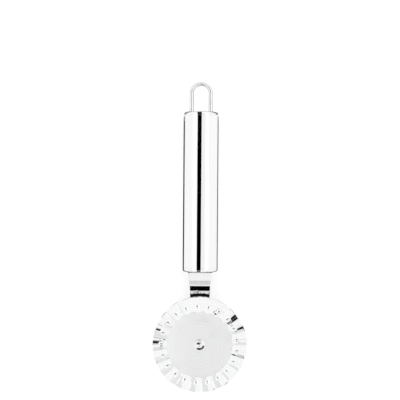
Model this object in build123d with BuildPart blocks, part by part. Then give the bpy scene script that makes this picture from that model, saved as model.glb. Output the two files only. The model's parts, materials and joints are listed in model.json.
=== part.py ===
from build123d import *
import os
from math import acos, cos, degrees, radians, sin, sqrt

# Pastry wheel lying flat on a table, all sizes in millimetres.
# The handle lies along Y with its hanging loop at +Y. The fluted cutting wheel lies level
# at -Y and spins about an upright rivet, whose domed head is on the +Z side.
# The origin is on the table, under the middle of the tool's length and width.

# Driving dimensions: cutting wheel
wheel_diameter = 60.0
wheel_sheet = 1.0        # sheet that the wheel is pressed from
flute_count = 21
flute_phase = 8.0        # degrees from +X to the first crest
flute_length = 5.0       # radial length of the straight flute, ending at the rim
flute_run_out = 4.4      # radial length over which a flute rises from the flat face
flute_depth = 3.2        # from the bottom of a valley to the top of a crest at the rim, mid sheet
flute_land = 0.6         # width of a crest's narrow flat, at the rim

# Driving dimensions: handle
handle_diameter = 22.0
handle_length = 100.5
handle_wall = 0.8
cap_sheet = 0.9
top_edge_radius = 1.9    # around the cap at the hanging loop
bottom_edge_radius = 1.2  # around the cap at the shank
cap_rim_straight = 0.7   # between the larger rounded edge and the tube
cap_spigot_length = 4.0  # part of the cap that sits inside the tube

# Driving dimensions: hanging loop
loop_height = 19.0       # above the handle's end
loop_wire = 2.5
loop_inset = 5.0         # from the handle's side to the middle of the wire
loop_leg_inside = 12.0   # length of each leg within the handle

# Driving dimensions: shank
shank_thickness = 2.0
shank_width = 14.3       # at the handle
shank_tip_radius = 3.8   # round end about the rivet
shank_edge_radius = 0.15
neck_straight = 5.1      # bare shank between the handle and the step
bend_radius = 13.7       # both bends of the step that takes the shank behind the wheel
bend_past_rim = 3.9      # the step ends this far in from the rim
tang_width = 10.0        # part of the shank within the handle
tang_length = 18.0

# Driving dimensions: rivet and spacer
head_diameter = 6.8
head_edge_height = 0.8
head_edge_radius = 0.2
head_dome_diameter = 4.0
head_dome_height = 0.25  # above the dish around it
head_dish = 0.2          # the head dips by this much from its edge to the foot of its dome
journal_diameter = 4.0   # the wheel turns on this
stem_diameter = 3.0      # passes through the spacer and the shank
tail_diameter = 5.2
tail_height = 0.9
spacer_diameter = 8.0

# Clearances
fit_gap = 0.05           # around pieces that are pushed together and stay put
running_gap = 0.06       # between the wheel's bore and the journal, on the radius
side_gap = 0.1           # between the wheel and its neighbours along the rivet
flute_gap = 0.7          # between the flutes and the shank behind them

# Heights above the table: the wheel's sheet lies level with the handle's middle
handle_radius = handle_diameter / 2
axis_z = handle_radius
wheel_front = axis_z + wheel_sheet / 2
wheel_back = axis_z - wheel_sheet / 2
flutes_back = wheel_back - flute_depth / 2
head_seat = wheel_front + side_gap
spacer_front = wheel_back - side_gap

# The step in the shank clears the flutes at the rim, before its second bend has run out
inner_bend_radius = bend_radius - shank_thickness / 2
rise_at_rim = inner_bend_radius - sqrt(inner_bend_radius**2 - bend_past_rim**2)
shank_front = flutes_back - flute_gap - rise_at_rim
shank_back = shank_front - shank_thickness
step_height = axis_z - (shank_front + shank_back) / 2
step_angle = degrees(acos(1 - step_height / (2 * bend_radius)))
step_length = 2 * bend_radius * sin(radians(step_angle))

# Places along the tool
wheel_radius = wheel_diameter / 2
neck_length = neck_straight + step_length - bend_past_rim
overall_length = wheel_diameter + neck_length + handle_length + loop_height
axle_y = wheel_radius - overall_length / 2
handle_low = axle_y + wheel_radius + neck_length
handle_high = handle_low + handle_length
step_start = handle_low - neck_straight

# Axes
handle_axis = Axis((0, 0, axis_z), (0, 1, 0))
axle_axis = Axis((0, axle_y, 0), (0, 0, 1))
handle_level = Plane.XY.offset(axis_z)
axle_upright = Plane.XZ.offset(-axle_y)
wheel_level = Plane(origin=(0, axle_y, axis_z))


def across_handle(y):
    """Plane square to the handle at a place along it, facing the hanging loop."""
    return Plane(origin=(0, y, axis_z), x_dir=(1, 0, 0), z_dir=(0, 1, 0))


# Handle tube: plain tube between the two end caps
tube_bore = handle_radius - handle_wall
cap_rim_length = max(top_edge_radius, bottom_edge_radius) + cap_rim_straight
with BuildPart() as handle_tube:
    with BuildSketch(across_handle(handle_low + cap_rim_length)):
        Circle(handle_radius)
        Circle(tube_bore, mode=Mode.SUBTRACT)
    extrude(amount=handle_length - 2 * cap_rim_length)


# End caps: pressed cups with a rounded rim flush with the tube and a spigot inside it
spigot_radius = tube_bore - fit_gap


def end_cap_blank(end, inward, edge_radius):
    """Cap without its openings. Inward is +1 or -1, the way into the handle along Y."""
    with BuildPart() as blank:
        with BuildSketch(handle_level) as profile:
            with BuildLine():
                rim_y_inside = end + inward * cap_rim_length
                spigot_end = rim_y_inside + inward * cap_spigot_length
                inner_face = end + inward * cap_sheet
                inner_radius = spigot_radius - cap_sheet
                Polyline(
                    (0, end),
                    (handle_radius, end),
                    (handle_radius, rim_y_inside),
                    (spigot_radius, rim_y_inside),
                    (spigot_radius, spigot_end),
                    (inner_radius, spigot_end),
                    (inner_radius, inner_face),
                    (0, inner_face),
                    close=True,
                )
            make_face()
            outer_corner = profile.vertices().sort_by_distance((handle_radius, end, axis_z))[0]
            fillet(outer_corner, edge_radius)
        revolve(axis=handle_axis)
    return blank.part


loop_bend_radius = handle_radius - loop_inset
with BuildPart() as top_end_cap:
    add(end_cap_blank(handle_high, -1, top_edge_radius))
    with BuildSketch(across_handle(handle_high)):
        with Locations((-loop_bend_radius, 0), (loop_bend_radius, 0)):
            Circle(loop_wire / 2 + fit_gap)
    extrude(amount=-2 * cap_sheet, mode=Mode.SUBTRACT)

with BuildPart() as bottom_end_cap:
    add(end_cap_blank(handle_low, 1, bottom_edge_radius))
    with BuildSketch(across_handle(handle_low)):
        Rectangle(tang_width + 2 * fit_gap, shank_thickness + 2 * fit_gap)
    extrude(amount=2 * cap_sheet, mode=Mode.SUBTRACT)


# Hanging loop: one round wire bent over, its two legs inside the handle
leg_end = handle_high - loop_leg_inside
crown_y = handle_high + loop_height - loop_wire / 2
with BuildPart() as hanging_loop:
    with BuildLine(handle_level) as loop_path:
        left_leg = Line((-loop_bend_radius, leg_end), (-loop_bend_radius, crown_y - loop_bend_radius))
        crown = RadiusArc(left_leg @ 1, (loop_bend_radius, crown_y - loop_bend_radius), loop_bend_radius)
        Line(crown @ 1, (loop_bend_radius, leg_end))
    with BuildSketch(Plane(origin=loop_path.line @ 0, z_dir=(0, 1, 0))):
        Circle(loop_wire / 2)
    sweep()


# Shank: flat strip with a tang in the handle, a step behind the wheel and a round tip
tang_end = handle_low + tang_length
tip_end = axle_y - shank_tip_radius
strip_stock = shank_width + shank_thickness
with BuildPart() as shank:
    with BuildLine(Plane.YZ):
        tang_run = Line((tang_end, axis_z), (step_start, axis_z))
        back_bend = JernArc(tang_run @ 1, tang_run % 1, bend_radius, step_angle)
        level_bend = JernArc(back_bend @ 1, back_bend % 1, bend_radius, -step_angle)
        Line(level_bend @ 1, (tip_end, (shank_front + shank_back) / 2))
    with BuildSketch(Plane(origin=(0, tang_end, axis_z), x_dir=(1, 0, 0), z_dir=(0, -1, 0))):
        Rectangle(strip_stock, shank_thickness)
    sweep()
    with BuildSketch(Plane.XY):
        with Locations((0, axle_y)):
            Circle(shank_tip_radius)
        with Locations((0, handle_low)):
            Rectangle(shank_width, shank_thickness, align=(Align.CENTER, Align.MAX))
        make_hull()
        with Locations((0, handle_low)):
            Rectangle(tang_width, tang_length, align=(Align.CENTER, Align.MIN))
    extrude(amount=handle_diameter, mode=Mode.INTERSECT)
    outline_edges = shank.edges().filter_by(Axis.X, reverse=True).filter_by(Axis.Z, reverse=True)
    fillet(outline_edges, shank_edge_radius)
    with BuildSketch(Plane.XY):
        with Locations((0, axle_y)):
            Circle(stem_diameter / 2 + fit_gap)
    extrude(amount=handle_diameter, mode=Mode.SUBTRACT)


# Cutting wheel: flat disc with a ring of pressed flutes that run out to the rim
flute_pitch = 360 / flute_count
land_angle = degrees(flute_land / wheel_radius)
flute_radius = wheel_radius - flute_length
flat_radius = flute_radius - flute_run_out
disc_overlap = 2 * wheel_sheet
rim_stock = wheel_sheet


def flute_slice(angle, lift):
    """Section through the sheet along a radius, where the flute stands lift above mid sheet at the rim."""
    turn = radians(angle)
    radial = Plane(origin=(0, 0, 0), x_dir=(cos(turn), sin(turn), 0), z_dir=(sin(turn), -cos(turn), 0))
    outer_radius = wheel_radius + rim_stock
    middle = [
        (flat_radius - disc_overlap, 0),
        (flat_radius, 0),
        (flute_radius, lift * flute_radius / wheel_radius),
        (outer_radius, lift * outer_radius / wheel_radius),
    ]
    top = [(r, z + wheel_sheet / 2) for r, z in middle]
    bottom = [(r, z - wheel_sheet / 2) for r, z in reversed(middle)]
    with BuildSketch(radial) as section:
        with BuildLine():
            Polyline(*top, *bottom, close=True)
        make_face()
    return section.sketch


with BuildPart() as flute:
    crest = flute_depth / 2
    valley = -flute_depth / 2
    valley_edge = (flute_pitch - land_angle) / 2
    slices = [
        flute_slice(-flute_pitch / 2, valley),
        flute_slice(-valley_edge, valley),
        flute_slice(-land_angle / 2, crest),
        flute_slice(land_angle / 2, crest),
        flute_slice(valley_edge, valley),
        flute_slice(flute_pitch / 2, valley),
    ]
    loft(slices, ruled=True)

with BuildPart(wheel_level) as wheel:
    with BuildSketch(wheel_level):
        Circle(flat_radius - disc_overlap / 2)
    extrude(amount=wheel_sheet / 2, both=True)
    with PolarLocations(0, flute_count, start_angle=flute_phase):
        add(flute.part)
    with BuildSketch(wheel_level):
        Circle(wheel_radius)
        Circle(journal_diameter / 2 + running_gap, mode=Mode.SUBTRACT)
    extrude(amount=flute_depth, both=True, mode=Mode.INTERSECT)


# Axle rivet: low domed head, journal for the wheel, stem through the spacer and shank, peened tail
head_edge = head_seat + head_edge_height
dome_foot = head_edge - head_dish
with BuildPart() as axle_rivet:
    with BuildSketch(axle_upright) as rivet_profile:
        with BuildLine():
            dome = TangentArc(
                (0, dome_foot + head_dome_height), (head_dome_diameter / 2, dome_foot), tangent=(1, 0)
            )
            body = Polyline(
                dome @ 1,
                (head_diameter / 2, head_edge),
                (head_diameter / 2, head_seat),
                (journal_diameter / 2, head_seat),
                (journal_diameter / 2, spacer_front),
                (stem_diameter / 2, spacer_front),
                (stem_diameter / 2, shank_back),
                (tail_diameter / 2, shank_back),
            )
            tail = TangentArc((0, shank_back - tail_height), body @ 1, tangent=(1, 0))
            Line(tail @ 0, dome @ 0)
        make_face()
        rim_corner = rivet_profile.vertices().sort_by_distance((head_diameter / 2, axle_y, head_edge))[0]
        fillet(rim_corner, head_edge_radius)
    revolve(axis=axle_axis)


# Axle spacer: plain ring between the shank and the wheel, clamped by the rivet's journal
with BuildPart() as axle_spacer:
    with BuildSketch(Plane.XY.offset(shank_front)):
        with Locations((0, axle_y)):
            Circle(spacer_diameter / 2)
            Circle(stem_diameter / 2 + fit_gap, mode=Mode.SUBTRACT)
    extrude(amount=spacer_front - shank_front)


pieces = {
    "handle_tube": handle_tube,
    "top_end_cap": top_end_cap,
    "bottom_end_cap": bottom_end_cap,
    "hanging_loop": hanging_loop,
    "shank": shank,
    "wheel": wheel,
    "axle_rivet": axle_rivet,
    "axle_spacer": axle_spacer,
}
os.makedirs("parts", exist_ok=True)
for name, piece in pieces.items():
    piece.part.label = name
    export_step(piece.part, f"parts/{name}.step")
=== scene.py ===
import json
import math

import bmesh
import bpy
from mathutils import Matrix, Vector


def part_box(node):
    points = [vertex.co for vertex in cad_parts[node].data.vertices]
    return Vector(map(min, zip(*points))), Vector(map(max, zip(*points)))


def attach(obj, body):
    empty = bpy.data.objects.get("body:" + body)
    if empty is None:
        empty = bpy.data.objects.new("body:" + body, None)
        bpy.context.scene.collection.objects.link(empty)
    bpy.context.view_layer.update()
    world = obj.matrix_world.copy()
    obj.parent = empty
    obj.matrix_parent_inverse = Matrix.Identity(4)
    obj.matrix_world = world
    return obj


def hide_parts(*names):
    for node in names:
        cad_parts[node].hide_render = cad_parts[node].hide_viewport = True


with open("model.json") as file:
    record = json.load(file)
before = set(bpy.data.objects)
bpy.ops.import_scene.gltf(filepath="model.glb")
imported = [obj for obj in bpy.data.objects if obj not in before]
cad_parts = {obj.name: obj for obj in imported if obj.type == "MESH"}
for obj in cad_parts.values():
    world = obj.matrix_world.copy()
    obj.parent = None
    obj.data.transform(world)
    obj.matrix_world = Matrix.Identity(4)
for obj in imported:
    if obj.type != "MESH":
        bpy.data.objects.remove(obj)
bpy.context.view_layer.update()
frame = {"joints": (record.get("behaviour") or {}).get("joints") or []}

# Pastry wheel lying on a pale floor, seen from straight above.
# All sizes are in metres, in the frame of the solid model: +Y runs along the handle
# towards the hanging loop, +Z is up and the floor is at Z = 0.

scene = bpy.context.scene
MM = 0.001
HANDLE_BODY = "handle_and_shank"
WHEEL_BODY = "cutting_wheel"


# Sizes that come from the solid model
def middle(box, axis):
    return (box[0][axis] + box[1][axis]) / 2


def half_size(box, axis):
    return (box[1][axis] - box[0][axis]) / 2


X = 0
Z = 2
tube_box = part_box("handle_tube")
top_cap_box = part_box("top_end_cap")
bottom_cap_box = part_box("bottom_end_cap")
loop_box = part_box("hanging_loop")
shank_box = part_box("shank")
wheel_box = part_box("wheel")
rivet_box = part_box("axle_rivet")
spacer_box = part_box("axle_spacer")
axle = Vector(frame["joints"][0]["pos_m"])

handle_radius = half_size(top_cap_box, X)
axis_z = middle(top_cap_box, Z)
tube_low = tube_box[0].y
tube_high = tube_box[1].y
handle_low = bottom_cap_box[0].y
handle_high = top_cap_box[1].y
cap_rim = tube_low - handle_low
cap_depth = bottom_cap_box[1].y - handle_low
wheel_radius = half_size(wheel_box, X)
wire_radius = half_size(loop_box, Z)
loop_bend_radius = half_size(loop_box, X) - wire_radius
crown_centre = loop_box[1].y - wire_radius - loop_bend_radius
leg_end = loop_box[0].y
tang_end = shank_box[1].y
shank_back = shank_box[0].z
shank_front = spacer_box[0].z
shank_thickness = shank_front - shank_back
shank_half_width = half_size(shank_box, X)
tip_radius = axle.y - shank_box[0].y
spacer_front = spacer_box[1].z
rivet_top = rivet_box[1].z
rivet_bottom = rivet_box[0].z


# Mesh helpers
SHARP_ANGLE = math.radians(40)


def add_piece(name, points, faces, material, body, nodes=()):
    """A smooth mesh piece that moves with a body and stands for some of its solid nodes."""
    mesh = bpy.data.meshes.new(name)
    mesh.from_pydata(points, [], faces)
    shape = bmesh.new()
    shape.from_mesh(mesh)
    bmesh.ops.recalc_face_normals(shape, faces=shape.faces)
    shape.to_mesh(mesh)
    shape.free()
    mesh.shade_smooth()
    mesh.set_sharp_from_angle(angle=SHARP_ANGLE)
    mesh.materials.append(material)
    piece = bpy.data.objects.new(name, mesh)
    scene.collection.objects.link(piece)
    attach(piece, body)
    if nodes:
        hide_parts(*nodes)
    return piece


def skin(rings, close_rows=False):
    """Faces over a stack of closed rings of vertex numbers, all of one length."""
    faces = []
    pairs = list(zip(rings, rings[1:]))
    if close_rows:
        pairs.append((rings[-1], rings[0]))
    for lower, upper in pairs:
        for column in range(len(lower)):
            beside = (column + 1) % len(lower)
            corners = (lower[column], lower[beside], upper[beside], upper[column])
            face = list(dict.fromkeys(corners))     # a ring on the axis repeats one vertex
            if len(face) > 2:
                faces.append(face)
    return faces


def stack(sections):
    """Points and rings of a stack of sections, each a list of points."""
    points = []
    rings = []
    for section in sections:
        rings.append(list(range(len(points), len(points) + len(section))))
        points.extend(section)
    return points, rings


def lathe(profile, place, columns, close_rows=False):
    """Turns a profile of (radius, height). Place maps (across, up, height) into the frame."""
    points = []
    rings = []
    for radius, height in profile:
        start = len(points)
        if radius == 0:
            points.append(place(0, 0, height))
            rings.append([start] * columns)
            continue
        for column in range(columns):
            turn = 2 * math.pi * column / columns
            points.append(place(radius * math.cos(turn), radius * math.sin(turn), height))
        rings.append(list(range(start, start + columns)))
    return points, skin(rings, close_rows)


def arc(centre, radius, start, end, steps):
    """Points on an arc, angles in degrees, both ends included."""
    points = []
    for step in range(steps + 1):
        turn = math.radians(start + (end - start) * step / steps)
        points.append((centre[0] + radius * math.cos(turn), centre[1] + radius * math.sin(turn)))
    return points


def spaced(low, high, steps):
    """Evenly spaced values, both ends included."""
    return [low + (high - low) * step / steps for step in range(steps + 1)]


def about_handle(across, up, along):
    return (across, along, axis_z + up)


def about_axle(across, ahead, height):
    return (axle.x + across, axle.y + ahead, height)


# Handle tube: its ends are eased, so that a hairline shows where it meets the caps
TUBE_WALL = 0.8 * MM
TUBE_STEPS = 30
SEAM_EASE = 0.05 * MM
HANDLE_COLUMNS = 192


def build_tube(material):
    bore = handle_radius - TUBE_WALL
    eased_radius = handle_radius - SEAM_EASE
    profile = [(eased_radius, tube_low)]
    for y in spaced(tube_low + SEAM_EASE, tube_high - SEAM_EASE, TUBE_STEPS):
        profile.append((handle_radius, y))
    profile.append((eased_radius, tube_high))
    for y in spaced(tube_high, tube_low, TUBE_STEPS):
        profile.append((bore, y))
    points, faces = lathe(profile, about_handle, HANDLE_COLUMNS, close_rows=True)
    nodes = ["handle_tube"]
    add_piece("handle_tube_polished", points, faces, material, HANDLE_BODY, nodes)


# End caps: pressed cups with a slightly crowned face and a rolled edge
CAP_SHEET = 0.9 * MM
TOP_EDGE_RADIUS = 1.9 * MM
BOTTOM_EDGE_RADIUS = 1.2 * MM
CAP_CROWN = 0.1 * MM
CAP_FACE_STEPS = 12
CAP_EDGE_STEPS = 28
FIT_GAP = 0.05 * MM


def cap_profile(edge_radius):
    """(radius, depth from the handle's end), from the middle of the face round to its inside."""
    face_radius = handle_radius - edge_radius
    face = []
    for radius in spaced(0, face_radius, CAP_FACE_STEPS):
        face.append((radius, CAP_CROWN * (radius / face_radius) ** 2))
    edge_centre = (face_radius, CAP_CROWN + edge_radius)
    corner = arc(edge_centre, edge_radius, -90, 0, CAP_EDGE_STEPS)[1:]
    spigot_radius = handle_radius - TUBE_WALL - FIT_GAP
    inner_radius = spigot_radius - CAP_SHEET
    return face + corner + [
        (handle_radius, CAP_CROWN + edge_radius + SEAM_EASE),
        (handle_radius, cap_rim - SEAM_EASE),
        (handle_radius - SEAM_EASE, cap_rim),
        (spigot_radius, cap_rim),
        (spigot_radius, cap_depth),
        (inner_radius, cap_depth),
        (inner_radius, CAP_SHEET),
        (0, CAP_SHEET),
    ]


def build_caps(material):
    top = [(radius, handle_high - depth) for radius, depth in cap_profile(TOP_EDGE_RADIUS)]
    bottom = [(radius, handle_low + depth) for radius, depth in cap_profile(BOTTOM_EDGE_RADIUS)]
    for node, profile in (("top_end_cap", top), ("bottom_end_cap", bottom)):
        points, faces = lathe(profile, about_handle, HANDLE_COLUMNS)
        add_piece(node + "_pressed", points, faces, material, HANDLE_BODY, [node])


# Hanging loop: one drawn wire, cropped at both ends inside the handle
WIRE_COLUMNS = 40
WIRE_CROP = 0.3 * MM
LEG_STEPS = 14
CROWN_STEPS = 56


def loop_path():
    """(place, direction) along the wire, from the end of one leg to the end of the other."""
    left = [((-loop_bend_radius, y), (0, 1)) for y in spaced(leg_end, crown_centre, LEG_STEPS)]
    crown = []
    for turn in spaced(math.pi, 0, CROWN_STEPS)[1:-1]:
        place = (loop_bend_radius * math.cos(turn), crown_centre + loop_bend_radius * math.sin(turn))
        crown.append((place, (math.sin(turn), -math.cos(turn))))
    right = [((loop_bend_radius, y), (0, -1)) for y in spaced(crown_centre, leg_end, LEG_STEPS)]
    return left + crown + right


def wire_ring(place, direction, radius):
    ring = []
    for column in range(WIRE_COLUMNS):
        turn = 2 * math.pi * column / WIRE_COLUMNS
        sideways = radius * math.cos(turn)
        ring.append(
            (
                place[0] - direction[1] * sideways,
                place[1] + direction[0] * sideways,
                axis_z + radius * math.sin(turn),
            )
        )
    return ring


def cropped_end(place, direction, outwards):
    """The narrowed end of the wire, beyond its last full ring. Outwards is 1 or -1 along direction."""
    x = place[0] + outwards * direction[0] * WIRE_CROP
    y = place[1] + outwards * direction[1] * WIRE_CROP
    return wire_ring((x, y), direction, wire_radius - WIRE_CROP)


def build_loop(material):
    path = loop_path()
    sections = [cropped_end(*path[0], outwards=-1)]
    sections += [wire_ring(place, direction, wire_radius) for place, direction in path]
    sections.append(cropped_end(*path[-1], outwards=1))
    points, rings = stack(sections)
    faces = skin(rings) + [rings[0], rings[-1]]
    add_piece("hanging_loop_wire", points, faces, material, HANDLE_BODY, ["hanging_loop"])


# Shank: a strip with rounded edges that steps back behind the wheel and ends in a round tip
NECK_STRAIGHT = 5.1 * MM
BEND_RADIUS = 13.7 * MM
SHOULDER = 2.0 * MM           # full width from the handle to where the taper starts
TANG_HALF_WIDTH = 5.0 * MM
EDGE_RADIUS = 0.08 * MM
EDGE_STEPS = 5
FLAT_SHARES = (0.97, 0.6, 0.2, -0.2, -0.6, -0.97)     # of the half width, across the strip's flats
TANG_STEPS = 4
NECK_STEPS = 8
BEND_STEPS = 20
ARM_STEPS = 12
TIP_STEPS = 18
TIP_END = math.radians(-87)   # short of the very tip, so that the last section has a width
shank_middle_z = (shank_front + shank_back) / 2
step_start = handle_low - NECK_STRAIGHT
step_angle = math.acos(1 - (axis_z - shank_middle_z) / (2 * BEND_RADIUS))
step_end = step_start - 2 * BEND_RADIUS * math.sin(step_angle)


def taper_tangent():
    """Where the tapered side runs into the round tip, as (half width, place along Y)."""
    corner = Vector((shank_half_width, handle_low - SHOULDER))
    reach = corner - Vector((0, axle.y))
    turn = math.atan2(reach.y, reach.x) - math.acos(tip_radius / reach.length)
    return tip_radius * math.cos(turn), axle.y + tip_radius * math.sin(turn)


def shank_width_at(y):
    """Half width of the strip outside the handle."""
    tangent_width, tangent_y = taper_tangent()
    corner_y = handle_low - SHOULDER
    if y >= corner_y:
        return shank_half_width
    if y >= tangent_y:
        share = (y - tangent_y) / (corner_y - tangent_y)
        return tangent_width + (shank_half_width - tangent_width) * share
    return math.sqrt(max(0, tip_radius**2 - (y - axle.y) ** 2))


def shank_stations():
    """(y, z, slope in radians, half width) down the strip's middle, from the tang to the tip."""
    stations = [(y, axis_z, 0, TANG_HALF_WIDTH) for y in spaced(tang_end, handle_low, TANG_STEPS)]
    for y in spaced(handle_low, step_start, NECK_STEPS):
        stations.append((y, axis_z, 0, shank_width_at(y)))
    for turn in spaced(0, step_angle, BEND_STEPS)[1:]:
        y = step_start - BEND_RADIUS * math.sin(turn)
        z = axis_z - BEND_RADIUS * (1 - math.cos(turn))
        stations.append((y, z, turn, shank_width_at(y)))
    for turn in spaced(step_angle, 0, BEND_STEPS)[1:]:
        y = step_end + BEND_RADIUS * math.sin(turn)
        z = shank_middle_z + BEND_RADIUS * (1 - math.cos(turn))
        stations.append((y, z, turn, shank_width_at(y)))
    tangent_y = taper_tangent()[1]
    for y in spaced(step_end, tangent_y, ARM_STEPS)[1:]:
        stations.append((y, shank_middle_z, 0, shank_width_at(y)))
    start = math.asin((tangent_y - axle.y) / tip_radius)
    for turn in spaced(start, TIP_END, TIP_STEPS)[1:]:
        y = axle.y + tip_radius * math.sin(turn)
        stations.append((y, shank_middle_z, 0, shank_width_at(y)))
    return stations


def strip_section(half_width):
    """Rounded rectangle of (across, through the strip), the same number of points at any width."""
    edge = min(EDGE_RADIUS, half_width)
    reach = half_width - edge
    rise = shank_thickness / 2 - edge
    corners = [(reach, rise, 0), (-reach, rise, 90), (-reach, -rise, 180), (reach, -rise, 270)]
    section = []
    for across, through, start in corners:
        section += arc((across, through), edge, start, start + 90, EDGE_STEPS)
        if start in (0, 180):
            flat = through + math.copysign(edge, through)
            section += [(across * share, flat) for share in FLAT_SHARES]
    return section


def build_shank(material):
    sections = []
    for y, z, slope, half_width in shank_stations():
        section = []
        for across, through in strip_section(half_width):
            section.append((across, y - through * math.sin(slope), z + through * math.cos(slope)))
        sections.append(section)
    points, rings = stack(sections)
    faces = skin(rings) + [rings[0], rings[-1]]
    add_piece("shank_strip", points, faces, material, HANDLE_BODY, ["shank"])


# Welds: small rippled beads where the loop and the shank enter the caps
SHANK_WELD_RADIUS = 0.78 * MM
LOOP_WELD_RADIUS = 0.28 * MM
WELD_RIPPLE = 0.13            # share of the bead's radius
WELD_PITCH = 1.3 * MM
WELD_COLUMNS = 14
ROUND_WELD_STEPS = 40
LONG_WELD_STEPS = 44
WELD_END_STEPS = 10


def weld_bead(name, stations, face, bead_radius, material):
    """A closed bead on a cap's face at Y = face, along stations of place and way out, as (x, z)."""
    sections = []
    travelled = 0.0
    before = stations[0][0]
    for place, way_out in stations:
        travelled += math.dist(place, before)
        before = place
        radius = bead_radius * (1 + WELD_RIPPLE * math.sin(2 * math.pi * travelled / WELD_PITCH))
        section = []
        for turn in spaced(0, 2 * math.pi, WELD_COLUMNS)[:-1]:
            out = radius * math.cos(turn)
            x = place[0] + way_out[0] * out
            z = place[1] + way_out[1] * out
            section.append((x, face + radius * math.sin(turn), z))
        sections.append(section)
    points, rings = stack(sections)
    add_piece(name, points, skin(rings, close_rows=True), material, HANDLE_BODY)


def wire_stations(leg_x):
    """Round one leg of the loop."""
    stations = []
    for turn in spaced(0, 2 * math.pi, ROUND_WELD_STEPS)[:-1]:
        way_out = (math.cos(turn), math.sin(turn))
        place = (leg_x + wire_radius * way_out[0], axis_z + wire_radius * way_out[1])
        stations.append((place, way_out))
    return stations


def strip_stations():
    """Round the shank: along its front and round one edge, then back along its rear."""
    half_thickness = shank_thickness / 2
    stations = []
    for side in (1, -1):
        edge = side * shank_half_width
        for x in spaced(-edge, edge, LONG_WELD_STEPS):
            stations.append(((x, axis_z + side * half_thickness), (0, side)))
        start = side * math.pi / 2
        for turn in spaced(start, start - math.pi, WELD_END_STEPS)[1:-1]:
            way_out = (math.cos(turn), math.sin(turn))
            stations.append(((edge, axis_z + half_thickness * way_out[1]), way_out))
    return stations


def build_welds(material):
    for leg_x, name in ((-loop_bend_radius, "loop_weld_left"), (loop_bend_radius, "loop_weld_right")):
        weld_bead(name, wire_stations(leg_x), handle_high, LOOP_WELD_RADIUS, material)
    weld_bead("shank_weld", strip_stations(), handle_low, SHANK_WELD_RADIUS, material)


# Wheel: a pressed disc, flat in the middle, with folded flutes that run out to the rim
FLUTE_COUNT = 21
FLUTE_PHASE = math.radians(8.0)
FLUTE_SHARPNESS = 0.996       # 1 is a sharp fold, less is rounder
FOLD_SHARES = (0, 0.008, 0.018, 0.035, 0.07, 0.15)     # of a pitch, from a fold into its flank
SHEET = 1.0 * MM
FLUTE_RISE = 1.5 * MM         # at the rim, from mid sheet to a crest
FLAT_RADIUS = 20.6 * MM       # where the flat face ends and the flutes start
FLUTE_RADIUS = 24.2 * MM      # where the slope at their inner end runs out
FLUTE_START = 0.85            # share of a flute's height at its inner end, over a short wall
FLUTE_WALL = 0.06 * MM
SCALLOP = 0.5 * MM            # crests start this much inside FLAT_RADIUS, valleys outside it
RING_RADIUS = 18.0 * MM       # the scallops don't reach further in than this
HUB_RADIUS = 6.0 * MM
RIM_ROUNDING = 0.22 * MM
BORE_RADIUS = 2.06 * MM
BORE_EASE = 0.1 * MM
NOSE_RADIUS = 24.0 * MM       # from the axle to the blunt inner end of a crest
NOSE_CUT = 0.5 * MM           # from the crest down to the top of its dome
NOSE_ROUNDING = 5.0 * MM
NOSE_REACH = (0.9 * MM, 1.6 * MM)     # the dome is whole within the first and gone by the second
FACE_STEPS = 4
FLUTE_STEPS = 16
RIM_STEPS = 4


def smooth_step(value, low, high):
    """0 below low, 1 above high and smooth between them."""
    share = min(1.0, max(0.0, (value - low) / (high - low)))
    return share * share * (3 - 2 * share)


def flute_angles():
    """Angles round the wheel, close together at the folds and wide apart on the flanks."""
    down = [*FOLD_SHARES, 0.25] + [0.5 - share for share in reversed(FOLD_SHARES)]
    pitch = down + [1 - share for share in down[-2:0:-1]]
    turns = [flute + share for flute in range(FLUTE_COUNT) for share in pitch]
    return [FLUTE_PHASE + 2 * math.pi * turn / FLUTE_COUNT for turn in turns]


def flute_wave(angle):
    """Folded wave, 1 on a crest and -1 in a valley."""
    turn = FLUTE_COUNT * (angle - FLUTE_PHASE)
    return math.asin(FLUTE_SHARPNESS * math.cos(turn)) / math.asin(FLUTE_SHARPNESS)


def flute_rise(radius):
    """Height of a crest over mid sheet, rising from the edge of the flat face."""
    if radius <= FLAT_RADIUS:
        return 0.0
    left = max(0.0, (FLUTE_RADIUS - radius) / (FLUTE_RADIUS - FLAT_RADIUS))
    return FLUTE_RISE * radius / wheel_radius * (1 - (1 - FLUTE_START) * left**3)


def sheet_height(radius, angle):
    """Height of mid sheet, with each crest pressed to a small dome at its inner end."""
    height = flute_rise(radius) * flute_wave(angle)
    pitch = 2 * math.pi / FLUTE_COUNT
    off_crest = (angle - FLUTE_PHASE + pitch / 2) % pitch - pitch / 2
    from_nose = math.hypot(radius - NOSE_RADIUS, radius * off_crest)
    dome = flute_rise(NOSE_RADIUS) - NOSE_CUT - from_nose**2 / (2 * NOSE_ROUNDING)
    return height - max(0.0, height - dome) * (1 - smooth_step(from_nose, *NOSE_REACH))


def scalloped(radius, angle):
    """Radius moved in at the crests and out in the valleys, most where the flat face ends."""
    inside = smooth_step(radius, RING_RADIUS, FLAT_RADIUS)
    outside = smooth_step(radius, FLAT_RADIUS, FLUTE_RADIUS)
    return radius - SCALLOP * flute_wave(angle) * (inside - outside)


def wheel_section():
    """Closed loop of (radius, offset from mid sheet) from the bore round the rim and back."""
    half = SHEET / 2
    last = wheel_radius - RIM_ROUNDING
    front = [BORE_RADIUS + BORE_EASE, BORE_RADIUS + 2 * BORE_EASE]
    front += spaced(HUB_RADIUS, RING_RADIUS, FACE_STEPS)
    front += spaced(RING_RADIUS, FLAT_RADIUS, FACE_STEPS)[1:]
    front += spaced(FLAT_RADIUS + FLUTE_WALL, FLUTE_RADIUS, FLUTE_STEPS)
    front += spaced(FLUTE_RADIUS, last, FLUTE_STEPS)[1:]
    rim = arc((last, half - RIM_ROUNDING), RIM_ROUNDING, 90, 0, RIM_STEPS)[1:]
    loop = [(BORE_RADIUS, half - BORE_EASE)] + [(radius, half) for radius in front] + rim
    return loop + [(radius, -offset) for radius, offset in reversed(loop)]


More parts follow.
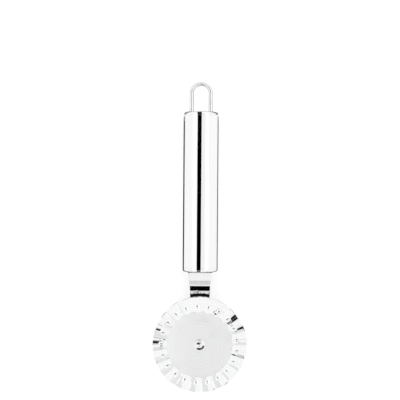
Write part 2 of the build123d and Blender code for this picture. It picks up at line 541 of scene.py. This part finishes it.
def build_wheel(material):
    angles = flute_angles()
    sections = []
    for radius, offset in wheel_section():
        section = []
        for angle in angles:
            reach = scalloped(radius, angle)
            height = axle.z + sheet_height(radius, angle) + offset
            section.append(about_axle(reach * math.cos(angle), reach * math.sin(angle), height))
        sections.append(section)
    points, rings = stack(sections)
    faces = skin(rings, close_rows=True)
    wheel = add_piece("wheel_pressed", points, faces, material, WHEEL_BODY, ["wheel"])
    creases = set()
    for (radius, _), ring in zip(wheel_section(), rings):
        if FLAT_RADIUS <= radius <= FLAT_RADIUS + FLUTE_WALL:
            creases.update(ring)
    for edge in wheel.data.edges:
        if creases.issuperset(edge.vertices):
            edge.use_edge_sharp = True


# Axle rivet: a low dome in a dished head, a stepped stem and a peened tail
HEAD_RADIUS = 3.4 * MM
HEAD_SEAT = axle.z + 0.6 * MM
HEAD_EDGE_HEIGHT = 0.8 * MM
HEAD_EDGE_RADIUS = 0.2 * MM
DOME_RADIUS = 2.0 * MM
DOME_HEIGHT = 0.25 * MM
JOURNAL_RADIUS = 2.0 * MM
STEM_RADIUS = 1.5 * MM
TAIL_RADIUS = 2.6 * MM
AXLE_COLUMNS = 96
DOME_STEPS = 12
HEAD_EDGE_STEPS = 6
DISH_SHARES = (0.06, 0.2, 0.4, 0.6, 0.8, 0.94)        # of the way from the dome to the head's edge


def cap_of_sphere(radius, height, base, steps):
    """(radius, height) over a low dome, from its middle to its foot."""
    sphere = (radius**2 + height**2) / (2 * height)
    centre = base + height - sphere
    return [(r, centre + math.sqrt(sphere**2 - r**2)) for r in spaced(0, radius, steps)]


def rivet_profile():
    head_edge = HEAD_SEAT + HEAD_EDGE_HEIGHT
    dome_foot = rivet_top - DOME_HEIGHT
    dome = cap_of_sphere(DOME_RADIUS, DOME_HEIGHT, dome_foot, DOME_STEPS)
    rim_start = HEAD_RADIUS - HEAD_EDGE_RADIUS
    dish = []
    for share in DISH_SHARES:
        radius = DOME_RADIUS + (rim_start - DOME_RADIUS) * share
        dish.append((radius, dome_foot + (head_edge - dome_foot) * share))
    rim = arc((rim_start, head_edge - HEAD_EDGE_RADIUS), HEAD_EDGE_RADIUS, 90, 0, HEAD_EDGE_STEPS)
    stem = [
        (HEAD_RADIUS, HEAD_SEAT),
        (JOURNAL_RADIUS, HEAD_SEAT),
        (JOURNAL_RADIUS, spacer_front),
        (STEM_RADIUS, spacer_front),
        (STEM_RADIUS, shank_back),
        (TAIL_RADIUS, shank_back),
    ]
    tail_height = shank_back - rivet_bottom
    tail_dome = cap_of_sphere(TAIL_RADIUS, tail_height, shank_back, DOME_STEPS)
    tail = [(radius, 2 * shank_back - z) for radius, z in tail_dome]
    return dome + dish + rim + stem + tail[::-1][1:]


def build_rivet(material):
    points, faces = lathe(rivet_profile(), about_axle, AXLE_COLUMNS)
    add_piece("axle_rivet_formed", points, faces, material, HANDLE_BODY, ["axle_rivet"])


# Axle spacer: a turned ring with eased edges
SPACER_RADIUS = 4.0 * MM
SPACER_EASE = 0.25 * MM
SPACER_EDGE_STEPS = 5


def build_spacer(material):
    ease = SPACER_EASE
    outer = SPACER_RADIUS - ease
    bore = STEM_RADIUS + FIT_GAP
    profile = arc((outer, shank_front + ease), ease, -90, 0, SPACER_EDGE_STEPS)
    profile += arc((outer, spacer_front - ease), ease, 0, 90, SPACER_EDGE_STEPS)
    profile += [(bore, spacer_front), (bore, shank_front)]
    points, faces = lathe(profile, about_axle, AXLE_COLUMNS, close_rows=True)
    add_piece("axle_spacer_turned", points, faces, material, HANDLE_BODY, ["axle_spacer"])


# Camera straight above the tool, turned a little so that the tool leans as in the photograph
PIXELS = 400
PIXEL_SIZE = 0.6302 * MM      # at the height of the handle's middle
CAMERA_DISTANCE = 700 * MM
CAMERA_X = -0.35 * MM
CAMERA_Y = 23.37 * MM
CAMERA_TURN = math.radians(0.42)
SENSOR = 36.0


def add_camera():
    data = bpy.data.cameras.new("camera")
    data.sensor_width = SENSOR
    data.lens = SENSOR * CAMERA_DISTANCE / (PIXELS * PIXEL_SIZE)
    camera = bpy.data.objects.new("camera", data)
    camera.location = (CAMERA_X, CAMERA_Y, axis_z + CAMERA_DISTANCE)
    camera.rotation_euler = (0, 0, CAMERA_TURN)
    scene.collection.objects.link(camera)
    scene.camera = camera
    scene.view_settings.view_transform = "Standard"


# Node helpers
def link_or_set(tree, value, socket):
    if isinstance(value, bpy.types.NodeSocket):
        tree.links.new(value, socket)
    else:
        socket.default_value = value


def math_node(tree, operation, first, second=0.0):
    node = tree.nodes.new("ShaderNodeMath")
    node.operation = operation
    link_or_set(tree, first, node.inputs[0])
    link_or_set(tree, second, node.inputs[1])
    return node.outputs[0]


def spread(tree, value, from_low, from_high, to_low=0.0, to_high=1.0):
    """Maps a range of values smoothly onto another, and holds it beyond both ends."""
    node = tree.nodes.new("ShaderNodeMapRange")
    node.interpolation_type = "SMOOTHSTEP"
    tree.links.new(value, node.inputs["Value"])
    node.inputs["From Min"].default_value = from_low
    node.inputs["From Max"].default_value = from_high
    node.inputs["To Min"].default_value = to_low
    node.inputs["To Max"].default_value = to_high
    return node.outputs["Result"]


# World: a white tent, with a dark opening for the lens and panels dimmer or brighter than the rest
TENT_STRENGTH = 1.15
BACKDROP_STRENGTH = 0.85      # what the camera sees behind the floor
EDGE_SOFTNESS = 1.5           # degrees over which a panel's edge fades, unless it gives its own

# Angles in degrees: across and along lean from straight up towards +X and +Y, heading turns
# from -Y towards +X, and rise is the height over the horizon.
PANELS = [
    {"level": 0.0, "across": (-23, 4), "along": (-4.5, 5.6), "soft": 0.6},
    {"level": 0.5, "across": (-23, 4), "along": (5.6, 7), "soft": 0.6},
    {"level": 0.0, "across": (-26, 12), "along": (6.5, 13)},
    {"level": 0.94, "across": (-6, 6), "along": (-33, -4.5)},
    {"level": 0.77, "across": (-6, 6), "along": (-31, -9.5)},
    {"level": 0.0, "heading": (-3.5, 3.5), "along": (-63, -36), "soft": 0.8},
    {"level": 0.75, "heading": (-3.5, 3.5), "along": (-72, -63)},
    {"level": 0.93, "across": (-1, 25), "along": (-20, 15)},
    {"level": 0.88, "heading": (12, 50), "rise": (4, 22), "soft": 3},
    {"level": 1.2, "heading": (-140, -70), "rise": (36, 58)},
    {"level": 1.2, "heading": (-70, -32), "rise": (52, 60)},
    {"level": 1.2, "heading": (50, 142), "rise": (36, 58)},
]


def angle_between(tree, side, forward):
    """Degrees from forward towards side, both parts of a direction."""
    return math_node(tree, "DEGREES", math_node(tree, "ARCTAN2", side, forward))


def window(tree, angle, low, high, soft):
    """1 between two angles and 0 outside them, with soft edges."""
    off_middle = math_node(tree, "ABSOLUTE", math_node(tree, "SUBTRACT", angle, (low + high) / 2))
    reach = (high - low) / 2
    return spread(tree, off_middle, reach - soft / 2, reach + soft / 2, 1.0, 0.0)


def add_world():
    world = bpy.data.worlds.new("studio")
    scene.world = world
    world.use_nodes = True
    tree = world.node_tree
    tree.nodes.clear()
    direction = tree.nodes.new("ShaderNodeTexCoord").outputs["Generated"]
    split = tree.nodes.new("ShaderNodeSeparateXYZ")
    tree.links.new(direction, split.inputs[0])
    right, ahead, up = split.outputs
    towards_wheel = math_node(tree, "MULTIPLY", ahead, -1.0)
    angles = {
        "across": angle_between(tree, right, up),
        "along": angle_between(tree, ahead, up),
        "heading": angle_between(tree, right, towards_wheel),
        "rise": math_node(tree, "DEGREES", math_node(tree, "ARCSINE", up)),
    }
    light = 1.0
    for panel in PANELS:
        inside = 1.0 - panel["level"]
        soft = panel.get("soft", EDGE_SOFTNESS)
        for name, angle in angles.items():
            if name in panel:
                inside = math_node(tree, "MULTIPLY", window(tree, angle, *panel[name], soft), inside)
        light = math_node(tree, "MULTIPLY", math_node(tree, "SUBTRACT", 1.0, inside), light)
    tent = tree.nodes.new("ShaderNodeBackground")
    tree.links.new(light, tent.inputs["Color"])
    tent.inputs["Strength"].default_value = TENT_STRENGTH
    backdrop = tree.nodes.new("ShaderNodeBackground")
    backdrop.inputs["Color"].default_value = (1, 1, 1, 1)
    backdrop.inputs["Strength"].default_value = BACKDROP_STRENGTH
    choice = tree.nodes.new("ShaderNodeMixShader")
    tree.links.new(tree.nodes.new("ShaderNodeLightPath").outputs["Is Camera Ray"], choice.inputs[0])
    tree.links.new(tent.outputs[0], choice.inputs[1])
    tree.links.new(backdrop.outputs[0], choice.inputs[2])
    output = tree.nodes.new("ShaderNodeOutputWorld")
    tree.links.new(choice.outputs[0], output.inputs["Surface"])


# Floor and cards. A card only shows in the steel, as a photographer's flag does. The dark strip at the
# wheel's rim is painted shade instead.
FLOOR_RADIUS = 4.0
FLOOR_STEPS = 96
FLOOR_LEVEL = 0.45
FLOOR_GLOW = 0.65
STAGE_ROUGHNESS = 0.8
DARK = (0.01, 0.0)            # level and glow of a dark card


def plain_material(name, level, glow):
    material = bpy.data.materials.new(name)
    material.use_nodes = True
    shader = material.node_tree.nodes["Principled BSDF"]
    shader.inputs["Base Color"].default_value = (level, level, level, 1)
    shader.inputs["Roughness"].default_value = STAGE_ROUGHNESS
    shader.inputs["Specular IOR Level"].default_value = 0.0
    shader.inputs["Emission Color"].default_value = (1, 1, 1, 1)
    shader.inputs["Emission Strength"].default_value = glow
    return material


def add_stage(name, points, faces, level, glow):
    mesh = bpy.data.meshes.new(name)
    mesh.from_pydata(points, [], faces)
    mesh.materials.append(plain_material(name + "_finish", level, glow))
    stage = bpy.data.objects.new(name, mesh)
    scene.collection.objects.link(stage)
    return stage


def add_card(name, points, faces, level, glow):
    card = add_stage(name, points, faces, level, glow)
    card.visible_camera = False
    card.visible_diffuse = False
    card.visible_shadow = False
    card.visible_transmission = False
    card.visible_volume_scatter = False


def add_floor():
    ring = arc((0, 0), FLOOR_RADIUS, 0, 360 - 360 / FLOOR_STEPS, FLOOR_STEPS - 1)
    points = [(x, y, 0) for x, y in ring]
    add_stage("floor", points, [tuple(range(FLOOR_STEPS))], FLOOR_LEVEL, FLOOR_GLOW)


# Level cards: two opposite corners and the height over the floor, in millimetres
LEVEL_CARDS = {
    "dim_card": {"low": (-26, -45), "high": (22, 77), "height": 0.2, "level": 0.3, "glow": 0.0},
    "dark_card": {"low": (-23, -45), "high": (18.5, 74), "height": 0.3, "level": 0.03, "glow": 0.0},
    "loop_card": {"low": (-40, 79), "high": (40, 120), "height": 0.3, "level": 0.3, "glow": 0.0},
    "neck_card": {"low": (-9, -29), "high": (9, -22.5), "height": 30.5, "level": 0.02, "glow": 1.07},
}


def add_level_cards():
    for name, card in LEVEL_CARDS.items():
        left, bottom = card["low"]
        right, top = card["high"]
        corners = [(left, bottom), (right, bottom), (right, top), (left, top)]
        points = [(x * MM, y * MM, card["height"] * MM) for x, y in corners]
        add_card(name, points, [(0, 1, 2, 3)], card["level"], card["glow"])


# Upright dark flags: corners in millimetres
FLAGS = {
    "top_edge_flag": [
        (-2.7, 79.7, 21.3), (0.5, 79.7, 21.3),
        (0.7, 79.7, 34), (-7.2, 79.7, 34),
    ],
    "bottom_edge_flag": [
        (-2.4, -22.25, 21.6), (0.4, -22.25, 21.6),
        (0.4, -22.25, 30.6), (-4.9, -22.25, 30.6),
    ],
    "left_flute_flag": [
        (-28.5, -35.4, 26.7), (-22, -35.4, 26.7),
        (-22, -35.4, 31), (-28.5, -35.4, 31),
    ],
    "upper_left_flute_flag": [
        (-18.2, -35.4, 23.9), (-14.8, -35.4, 23.9),
        (-14.8, -35.4, 26.7), (-18.2, -35.4, 26.7),
    ],
    "right_flute_flag": [
        (37.3, -99.8, 15.5), (46.5, -79.4, 15.5), (46.3, -79.8, 23.9),
        (42.8, -87.6, 24.1), (40.6, -92.5, 22.7), (37.3, -99.8, 23.1),
    ],
    "right_valley_flag": [
        (38.5, -77.4, 44), (43.5, -73.2, 44),
        (43.5, -73.2, 54), (38.5, -77.4, 54),
    ],
}


def add_flags():
    """Two flags carry the lens's dark line over the handle's ends, and the others darken flutes."""
    for name, corners in FLAGS.items():
        points = [tuple(MM * value for value in corner) for corner in corners]
        add_card(name, points, [tuple(range(len(points)))], *DARK)


# Rim card: a dark strip round the wheel's rim, which the shank's second bend mirrors. It is painted
# shade: it stands in for the shaded gap at the rim, and it shows only in reflections.
RIM_SHADE_GAP = 0.15 * MM
RIM_SHADE_LOW = 8.1 * MM
RIM_SHADE_HIGH = 10.2 * MM
RIM_SHADE_TURN = (72, 108)     # degrees round the axle, from +X
RIM_SHADE_STEPS = 24


def add_rim_shade_card():
    ring = arc((axle.x, axle.y), wheel_radius + RIM_SHADE_GAP, *RIM_SHADE_TURN, RIM_SHADE_STEPS)
    points = [(x, y, z) for z in (RIM_SHADE_LOW, RIM_SHADE_HIGH) for x, y in ring]
    count = RIM_SHADE_STEPS + 1
    faces = []
    for step in range(RIM_SHADE_STEPS):
        faces.append((step, step + 1, count + step + 1, count + step))
    # painted shade: a dark strip in the shaded gap at the rim, seen only in the shank's reflection
    add_card("rim_shade_card", points, faces, *DARK)


# Flute card: an upright grey card left of the wheel, for the flanks that face it at the lower left
FLUTE_CARD_X = -36
FLUTE_CARD_CORNERS = [         # (y, z) in millimetres
    (-145, 17), (-80, 17), (-80, 22.5), (-86, 23.5),
    (-88, 28), (-93.5, 34), (-145, 34),
]
FLUTE_CARD_LEVEL = 0.02
FLUTE_CARD_GLOW = 0.93


def add_flute_card():
    points = [(FLUTE_CARD_X * MM, y * MM, z * MM) for y, z in FLUTE_CARD_CORNERS]
    faces = [tuple(range(len(points)))]
    add_card("flute_card", points, faces, FLUTE_CARD_LEVEL, FLUTE_CARD_GLOW)


# Steel finishes. A texture's scale counts its features in a metre.
# Each steel varies between two tints.
HANDLE_TINTS = (0.795, 0.797, 0.805, 1), (0.845, 0.845, 0.848, 1)
WIRE_TINTS = (0.77, 0.772, 0.78, 1), (0.84, 0.84, 0.842, 1)
SHANK_TINTS = (0.785, 0.787, 0.795, 1), (0.845, 0.845, 0.848, 1)
WHEEL_TINTS = (0.79, 0.792, 0.8, 1), (0.86, 0.86, 0.862, 1)
RIVET_TINTS = (0.76, 0.762, 0.77, 1), (0.85, 0.85, 0.852, 1)
WELD_TINTS = (0.05, 0.048, 0.045, 1), (0.2, 0.19, 0.17, 1)
HEATED = (0.74, 0.7, 0.62, 1)
HEAT_REACH = 3.5 * MM         # from the handle down the shank
RIM_WEAR = (0.9 * MM, 0.3 * MM)       # in from the rim, where the wear starts and where it is full
NOISE_RANGE = (0.3, 0.7)      # most of a noise texture's values lie between these
RING_DETAIL = 2.0
AROUND_AXLE = (1, 1, 0)
AROUND_HANDLE = (1, 0, 1)


def new_steel(name):
    material = bpy.data.materials.new(name)
    material.use_nodes = True
    tree = material.node_tree
    shader = tree.nodes["Principled BSDF"]
    shader.inputs["Metallic"].default_value = 1.0
    return material, tree, shader


def coordinates(tree, stretch=(1, 1, 1), origin=(0, 0, 0)):
    """Place on the piece from an origin, with each axis multiplied by its stretch."""
    mapping = tree.nodes.new("ShaderNodeMapping")
    tree.links.new(tree.nodes.new("ShaderNodeTexCoord").outputs["Object"], mapping.inputs["Vector"])
    mapping.inputs["Scale"].default_value = stretch
    offset = [-place * factor for place, factor in zip(origin, stretch)]
    mapping.inputs["Location"].default_value = offset
    return mapping.outputs["Vector"]


def noise(tree, place, scale, detail):
    node = tree.nodes.new("ShaderNodeTexNoise")
    tree.links.new(place, node.inputs["Vector"])
    node.inputs["Scale"].default_value = scale
    node.inputs["Detail"].default_value = detail
    return node.outputs["Fac"]


def turned_rings(tree, around, centre, scale):
    """Uneven rings as a lathe leaves them, and the radius that they follow."""
    length = tree.nodes.new("ShaderNodeVectorMath")
    length.operation = "LENGTH"
    tree.links.new(coordinates(tree, around, centre), length.inputs[0])
    radius = length.outputs["Value"]
    node = tree.nodes.new("ShaderNodeTexNoise")
    node.noise_dimensions = "1D"
    tree.links.new(radius, node.inputs["W"])
    node.inputs["Scale"].default_value = scale
    node.inputs["Detail"].default_value = RING_DETAIL
    return node.outputs["Fac"], radius


def tone(tree, share, first, second):
    """Colour between two others, which are values or sockets, by a share from 0 to 1."""
    node = tree.nodes.new("ShaderNodeMix")
    node.data_type = "RGBA"
    tree.links.new(share, node.inputs["Factor"])
    sockets = {item.identifier: item for item in node.inputs}
    link_or_set(tree, first, sockets["A_Color"])
    link_or_set(tree, second, sockets["B_Color"])
    return next(item for item in node.outputs if item.identifier == "Result_Color")


def relief(tree, height, depth, under=None):
    """Bump of a height from 0 to 1, over another one."""
    node = tree.nodes.new("ShaderNodeBump")
    node.inputs["Strength"].default_value = 1.0
    node.inputs["Distance"].default_value = depth
    tree.links.new(height, node.inputs["Height"])
    if under:
        tree.links.new(under, node.inputs["Normal"])
    return node.outputs["Normal"]


def dress(tree, shader, colour, roughness, normal):
    tree.links.new(colour, shader.inputs["Base Color"])
    tree.links.new(roughness, shader.inputs["Roughness"])
    tree.links.new(normal, shader.inputs["Normal"])


def handle_steel():
    """Mirror polish with faint lines along the handle, hazy smudges and a slight waviness."""
    material, tree, shader = new_steel("handle_steel")
    smudges = noise(tree, coordinates(tree), scale=55, detail=3.0)
    lines = noise(tree, coordinates(tree, stretch=(1, 0.015, 1)), scale=1500, detail=2.0)
    waves = noise(tree, coordinates(tree, stretch=(1, 0.5, 1)), scale=60, detail=1.0)
    colour = tone(tree, spread(tree, lines, *NOISE_RANGE), *HANDLE_TINTS)
    roughness = spread(tree, smudges, 0.42, 0.7, 0.02, 0.06)
    normal = relief(tree, lines, depth=0.0015 * MM, under=relief(tree, waves, depth=0.04 * MM))
    dress(tree, shader, colour, roughness, normal)
    return material


def cap_steel():
    """Pressed caps, polished on a wheel that leaves faint rings about the handle's axis."""
    material, tree, shader = new_steel("cap_steel")
    rings = turned_rings(tree, AROUND_HANDLE, (0, 0, axis_z), scale=1300)[0]
    smudges = noise(tree, coordinates(tree), scale=110, detail=3.0)
    colour = tone(tree, spread(tree, rings, *NOISE_RANGE), *HANDLE_TINTS)
    roughness = spread(tree, smudges, 0.42, 0.7, 0.02, 0.06)
    normal = relief(tree, rings, depth=0.001 * MM)
    dress(tree, shader, colour, roughness, normal)
    return material


def wire_steel():
    """Drawn wire, with fine lines along its legs."""
    material, tree, shader = new_steel("wire_steel")
    lines = noise(tree, coordinates(tree, stretch=(1, 0.04, 1)), scale=2600, detail=2.0)
    patches = noise(tree, coordinates(tree), scale=260, detail=2.0)
    colour = tone(tree, spread(tree, patches, *NOISE_RANGE), *WIRE_TINTS)
    roughness = spread(tree, patches, *NOISE_RANGE, 0.06, 0.13)
    normal = relief(tree, lines, depth=0.0015 * MM)
    dress(tree, shader, colour, roughness, normal)
    return material


def shank_steel():
    """Rolled strip, polished along its length, with a trace of heat beside the weld."""
    material, tree, shader = new_steel("shank_steel")
    grain = noise(tree, coordinates(tree, stretch=(1, 0.03, 1)), scale=1500, detail=3.0)
    patches = noise(tree, coordinates(tree), scale=120, detail=3.0)
    split = tree.nodes.new("ShaderNodeSeparateXYZ")
    tree.links.new(coordinates(tree), split.inputs[0])
    heat = spread(tree, split.outputs["Y"], handle_low - HEAT_REACH, handle_low, 0.0, 0.5)
    clean = tone(tree, spread(tree, grain, *NOISE_RANGE), *SHANK_TINTS)
    colour = tone(tree, math_node(tree, "MULTIPLY", heat, patches), clean, HEATED)
    roughness = spread(tree, patches, 0.35, 0.7, 0.02, 0.06)
    normal = relief(tree, grain, depth=0.0003 * MM)
    dress(tree, shader, colour, roughness, normal)
    return material


def wheel_steel():
    """Pressed sheet with faint turned rings, smudges and a rim worn bright."""
    material, tree, shader = new_steel("wheel_steel")
    rings, radius = turned_rings(tree, AROUND_AXLE, axle, scale=1100)
    smudges = noise(tree, coordinates(tree), scale=90, detail=4.0)
    worn_from, worn_to = (wheel_radius - inset for inset in RIM_WEAR)
    rim = spread(tree, radius, worn_from, worn_to, 0.0, 0.5)
    share = math_node(tree, "ADD", spread(tree, rings, *NOISE_RANGE, 0.0, 0.5), rim)
    colour = tone(tree, share, *WHEEL_TINTS)
    roughness = spread(tree, smudges, 0.4, 0.7, 0.04, 0.1)
    normal = relief(tree, rings, depth=0.0015 * MM)
    dress(tree, shader, colour, roughness, normal)
    return material


def rivet_steel():
    """Turned bar with close rings, a little duller than the sheet."""
    material, tree, shader = new_steel("rivet_steel")
    rings = turned_rings(tree, AROUND_AXLE, axle, scale=2400)[0]
    patches = noise(tree, coordinates(tree), scale=400, detail=3.0)
    colour = tone(tree, spread(tree, rings, *NOISE_RANGE), *RIVET_TINTS)
    roughness = spread(tree, patches, 0.35, 0.7, 0.05, 0.13)
    normal = relief(tree, rings, depth=0.002 * MM)
    dress(tree, shader, colour, roughness, normal)
    return material


def weld_steel():
    """Weld metal: darker, uneven and tinted by heat."""
    material, tree, shader = new_steel("weld_steel")
    grain = noise(tree, coordinates(tree), scale=1800, detail=3.0)
    patches = noise(tree, coordinates(tree), scale=420, detail=2.0)
    colour = tone(tree, spread(tree, patches, 0.35, 0.65), *WELD_TINTS)
    roughness = spread(tree, grain, *NOISE_RANGE, 0.2, 0.4)
    normal = relief(tree, grain, depth=0.03 * MM)
    dress(tree, shader, colour, roughness, normal)
    return material


# The tool
rivet_finish = rivet_steel()
build_tube(handle_steel())
build_caps(cap_steel())
build_loop(wire_steel())
build_shank(shank_steel())
build_welds(weld_steel())
build_wheel(wheel_steel())
build_rivet(rivet_finish)
build_spacer(rivet_finish)

# The studio
add_camera()
add_world()
add_floor()
add_level_cards()
add_flags()
add_rim_shade_card()
add_flute_card()
